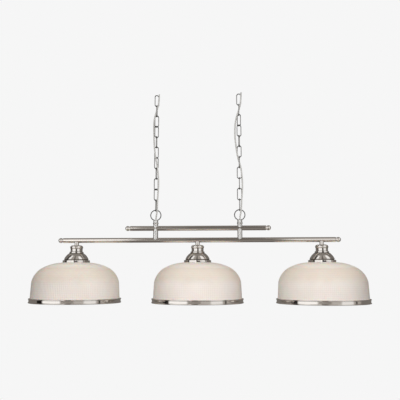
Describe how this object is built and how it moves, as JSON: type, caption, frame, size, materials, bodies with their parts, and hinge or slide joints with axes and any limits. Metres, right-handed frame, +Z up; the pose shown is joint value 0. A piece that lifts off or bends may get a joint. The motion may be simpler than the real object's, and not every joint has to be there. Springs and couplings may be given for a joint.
{
  "type": "linear island pendant light",
  "caption": "Linear pendant light: ribbed glass dome shades with metal rims under a long tube, hung by an upper bar on two link chains with threaded flexes.",
  "frame": {"origin": "midway between the two seats where the ceiling hooks carry the top links, so the light hangs below the origin", "axes": "+X along the lamp bar, +Y to the back, +Z up"},
  "size_m": [1.034, 0.28, 0.6551],
  "materials": {
    "chain_nickel": "polished nickel",
    "nickel": "polished nickel",
    "steel": "plain zinc-plated",
    "holder": "moulded thermoset",
    "shade_glass": "pressed, ribbed, milky",
    "bulb_glass": "frosted",
    "flex": "clear sleeve over pale cores"
  },
  "bodies": {
    "hooked_links": {"left_chain_link_01": "chain_nickel", "right_chain_link_01": "chain_nickel"},
    "left_second_link": {"left_chain_link_02": "chain_nickel"},
    "left_chain": {"left_chain_link_03": "chain_nickel", "left_chain_link_04": "chain_nickel", "left_chain_link_05": "chain_nickel", "left_chain_link_06": "chain_nickel", "left_chain_link_07": "chain_nickel", "left_chain_link_08": "chain_nickel", "left_chain_link_09": "chain_nickel", "left_chain_link_10": "chain_nickel", "left_flex": "flex"},
    "left_last_link": {"left_chain_link_11": "chain_nickel"},
    "fixture": {"left_hanging_loop": "nickel", "left_ferrule": "nickel", "left_spacer": "nickel", "right_hanging_loop": "nickel", "right_ferrule": "nickel", "right_spacer": "nickel", "lower_bar": "nickel", "upper_bar": "nickel", "lower_bar_cap_left": "nickel", "lower_bar_cap_right": "nickel", "upper_bar_cap_left": "nickel", "upper_bar_cap_right": "nickel", "chain_rods": "steel", "lamp_nipples": "steel", "bar_slugs": "steel", "left_stub": "nickel", "left_gallery": "nickel", "left_lampholder": "holder", "left_glass_shade": "shade_glass", "left_rim_band": "nickel", "left_bulb": "bulb_glass", "middle_stub": "nickel", "middle_gallery": "nickel", "middle_lampholder": "holder", "middle_glass_shade": "shade_glass", "middle_rim_band": "nickel", "middle_bulb": "bulb_glass", "right_stub": "nickel", "right_gallery": "nickel", "right_lampholder": "holder", "right_glass_shade": "shade_glass", "right_rim_band": "nickel", "right_bulb": "bulb_glass", "shade_rings": "holder", "inner_wires": "flex"},
    "right_second_link": {"right_chain_link_02": "chain_nickel"},
    "right_chain": {"right_chain_link_03": "chain_nickel", "right_chain_link_04": "chain_nickel", "right_chain_link_05": "chain_nickel", "right_chain_link_06": "chain_nickel", "right_chain_link_07": "chain_nickel", "right_chain_link_08": "chain_nickel", "right_chain_link_09": "chain_nickel", "right_chain_link_10": "chain_nickel", "right_flex": "flex"},
    "right_last_link": {"right_chain_link_11": "chain_nickel"}
  },
  "joints": [
    {"name": "swing_fore_aft", "type": "hinge", "parent": "hooked_links", "child": "left_second_link", "pos_m": [-0.13, 0, -0.03515], "axis": [1, 0, 0], "range_deg": [-15, 15], "deforming": ["left_flex"]},
    {"name": "sway_sideways", "type": "hinge", "parent": "left_second_link", "child": "left_chain", "pos_m": [-0.13, 0, -0.06865], "axis": [0, 1, 0], "range_deg": [-10, 10]},
    {"name": "left_last_link_level", "type": "hinge", "parent": "left_chain", "child": "left_last_link", "pos_m": [-0.13, 0, -0.3336], "axis": [0, 1, 0], "range_deg": [-10, 10]},
    {"name": "fixture_rock", "type": "hinge", "parent": "left_last_link", "child": "fixture", "pos_m": [-0.13, 0, -0.367], "axis": [1, 0, 0], "range_deg": [-6, 6]},
    {"name": "right_swing", "type": "hinge", "parent": "hooked_links", "child": "right_second_link", "pos_m": [0.13, 0, -0.03515], "axis": [1, 0, 0], "range_deg": [-15, 15], "deforming": ["right_flex"]},
    {"name": "right_sway", "type": "hinge", "parent": "right_second_link", "child": "right_chain", "pos_m": [0.13, 0, -0.06865], "axis": [0, 1, 0], "range_deg": [-10, 10]},
    {"name": "right_last_link_level", "type": "hinge", "parent": "right_chain", "child": "right_last_link", "pos_m": [0.13, 0, -0.3336], "axis": [0, 1, 0], "range_deg": [-10, 10]}
  ],
  "couplings": [
    {"joint": "left_last_link_level", "follows": "sway_sideways", "ratio": -1},
    {"joint": "right_swing", "follows": "swing_fore_aft", "ratio": 1},
    {"joint": "right_sway", "follows": "sway_sideways", "ratio": 1},
    {"joint": "right_last_link_level", "follows": "sway_sideways", "ratio": -1}
  ]
}
